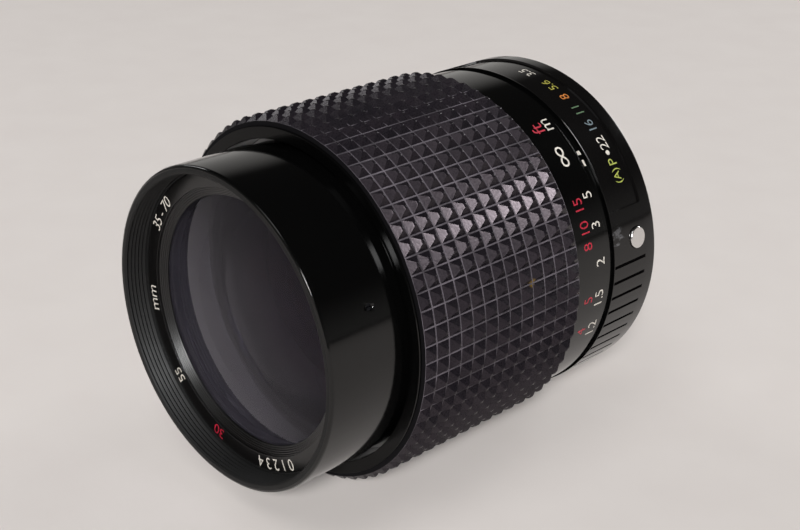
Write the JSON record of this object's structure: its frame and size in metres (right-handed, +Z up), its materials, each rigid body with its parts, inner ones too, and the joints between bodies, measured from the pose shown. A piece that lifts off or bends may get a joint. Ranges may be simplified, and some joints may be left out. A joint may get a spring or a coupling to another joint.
{
  "type": "camera zoom lens",
  "caption": "One-touch manual zoom lens with a pyramid rubber grip, distance ring, aperture ring, iris and bayonet mount, as moving pieces.",
  "frame": {"origin": "on the lens axis at the plane of the bayonet's flange face", "axes": "+Y along the lens axis from the front rim to the bayonet, +Z up as the lens lies in the picture, +X to the side where the picture shows the lock button"},
  "size_m": [0.067, 0.0845, 0.067],
  "materials": {
    "gloss_black_aluminium": "gloss black anodised",
    "black_aluminium": "matt black anodised",
    "satin_black_ring": "satin black anodised",
    "raw_aluminium": "turned",
    "chromed_brass": "satin chrome on brass",
    "brass": "turned",
    "screw_steel": "plated",
    "black_steel": "blackened",
    "blade_steel": "blued",
    "bright_button": "polished",
    "coated_glass": "coated",
    "grip_rubber": "moulded pyramids",
    "black_plastic": "moulded matt",
    "velvet": "flocked"
  },
  "bodies": {
    "lens_body": {"bayonet_mount": "chromed_brass", "rear_plate": "black_aluminium", "mount_screws": "screw_steel", "rear_lens_cell": "black_aluminium", "rear_element": "coated_glass", "rear_retainer": "black_aluminium", "rear_baffle": "black_plastic", "rear_housing": "raw_aluminium", "detent_ball": "screw_steel", "detent_spring": "screw_steel", "fixed_barrel": "raw_aluminium", "scale_sleeve": "gloss_black_aluminium", "index_ring": "gloss_black_aluminium", "cam_stop_ring": "raw_aluminium"},
    "zoom_carriage": {"zoom_carriage": "raw_aluminium", "zoom_keys": "brass", "focus_stop_screw": "screw_steel"},
    "cam_tube": {"cam_tube": "raw_aluminium"},
    "focus_grip": {"grip_sleeve": "black_aluminium", "rubber_grip": "grip_rubber", "distance_ring": "gloss_black_aluminium", "velvet_ring": "velvet"},
    "front_group": {"front_barrel": "gloss_black_aluminium", "barrel_set_screw": "black_steel", "helicoid_tube": "brass", "front_lens_cell": "black_aluminium", "front_element": "coated_glass", "front_doublet": "coated_glass", "front_retaining_ring": "black_aluminium", "name_ring": "black_aluminium"},
    "rear_group": {"rear_group_cell": "black_aluminium", "cam_followers": "brass", "variator_retainer": "black_aluminium", "variator_front_element": "coated_glass", "variator_rear_element": "coated_glass", "diaphragm_plate": "black_aluminium", "diaphragm_cover": "black_aluminium", "relay_cell": "black_aluminium", "relay_element": "coated_glass", "relay_retainer": "black_aluminium"},
    "iris_ring": {"iris_ring": "brass"},
    "iris_blade_1": {"iris_blade_1": "blade_steel"},
    "iris_blade_2": {"iris_blade_2": "blade_steel"},
    "iris_blade_3": {"iris_blade_3": "blade_steel"},
    "iris_blade_4": {"iris_blade_4": "blade_steel"},
    "iris_blade_5": {"iris_blade_5": "blade_steel"},
    "iris_blade_6": {"iris_blade_6": "blade_steel"},
    "aperture_ring": {"aperture_ring": "satin_black_ring", "aperture_link": "brass", "link_screw": "black_steel", "lock_spring_washer": "screw_steel"},
    "lock_button": {"lock_button": "bright_button"},
    "stop_down_lever": {"stop_down_lever": "brass"},
    "data_pin": {"data_pin": "brass"}
  },
  "joints": [
    {"name": "zoom_slide", "type": "slide", "parent": "lens_body", "child": "zoom_carriage", "axis": [0, -1, 0], "range_m": [0, 0.02]},
    {"name": "cam_spin", "type": "hinge", "parent": "lens_body", "child": "cam_tube", "pos_m": [0, 0, 0], "axis": [0, 1, 0], "range_deg": [0, 70]},
    {"name": "rear_group_slide", "type": "slide", "parent": "lens_body", "child": "rear_group", "axis": [0, -1, 0], "range_m": [0, 0.007]},
    {"name": "focus_turn", "type": "hinge", "parent": "zoom_carriage", "child": "focus_grip", "pos_m": [0, 0, 0], "axis": [0, -1, 0], "range_deg": [0, 61]},
    {"name": "front_extend", "type": "slide", "parent": "focus_grip", "child": "front_group", "axis": [0, -1, 0], "range_m": [0, 0.0055]},
    {"name": "aperture_turn", "type": "hinge", "parent": "lens_body", "child": "aperture_ring", "pos_m": [0, 0, 0], "axis": [0, 1, 0], "range_deg": [-8.7, 40.4]},
    {"name": "iris_turn", "type": "hinge", "parent": "rear_group", "child": "iris_ring", "pos_m": [0, 0, 0], "axis": [0, 1, 0], "range_deg": [-8.7, 40.4]},
    {"name": "blade_1_turn", "type": "hinge", "parent": "rear_group", "child": "iris_blade_1", "pos_m": [0, 0, 0.0162], "axis": [0, 1, 0], "range_deg": [-25.68, 5.54]},
    {"name": "blade_2_turn", "type": "hinge", "parent": "rear_group", "child": "iris_blade_2", "pos_m": [0.01403, 0, 0.0081], "axis": [0, 1, 0], "range_deg": [-25.68, 5.54]},
    {"name": "blade_3_turn", "type": "hinge", "parent": "rear_group", "child": "iris_blade_3", "pos_m": [0.01403, 0, -0.0081], "axis": [0, 1, 0], "range_deg": [-25.68, 5.54]},
    {"name": "blade_4_turn", "type": "hinge", "parent": "rear_group", "child": "iris_blade_4", "pos_m": [0, 0, -0.0162], "axis": [0, 1, 0], "range_deg": [-25.68, 5.54]},
    {"name": "blade_5_turn", "type": "hinge", "parent": "rear_group", "child": "iris_blade_5", "pos_m": [-0.01403, 0, -0.0081], "axis": [0, 1, 0], "range_deg": [-25.68, 5.54]},
    {"name": "blade_6_turn", "type": "hinge", "parent": "rear_group", "child": "iris_blade_6", "pos_m": [-0.01403, 0, 0.0081], "axis": [0, 1, 0], "range_deg": [-25.68, 5.54]},
    {"name": "lock_button_press", "type": "slide", "parent": "aperture_ring", "child": "lock_button", "axis": [-0.9836, 0, -0.1805], "range_m": [0, 0.0007], "stiffness_N_per_m": 300},
    {"name": "stop_down_turn", "type": "hinge", "parent": "lens_body", "child": "stop_down_lever", "pos_m": [0, 0, 0], "axis": [0, 1, 0], "range_deg": [0, 18], "stiffness_Nm_per_rad": 0.05},
    {"name": "data_pin_press", "type": "slide", "parent": "lens_body", "child": "data_pin", "axis": [0, -1, 0], "range_m": [0, 0.0008], "stiffness_N_per_m": 200}
  ],
  "couplings": [
    {"joint": "cam_spin", "follows": "zoom_slide", "rad_per_m": 61.087},
    {"joint": "rear_group_slide", "follows": "zoom_slide", "ratio": 0.35},
    {"joint": "front_extend", "follows": "focus_turn", "m_per_rad": 0.005166},
    {"joint": "iris_turn", "follows": "aperture_turn", "ratio": 1},
    {"joint": "blade_1_turn", "follows": "aperture_turn", "ratio": -0.63544},
    {"joint": "blade_2_turn", "follows": "aperture_turn", "ratio": -0.63544},
    {"joint": "blade_3_turn", "follows": "aperture_turn", "ratio": -0.63544},
    {"joint": "blade_4_turn", "follows": "aperture_turn", "ratio": -0.63544},
    {"joint": "blade_5_turn", "follows": "aperture_turn", "ratio": -0.63544},
    {"joint": "blade_6_turn", "follows": "aperture_turn", "ratio": -0.63544}
  ]
}
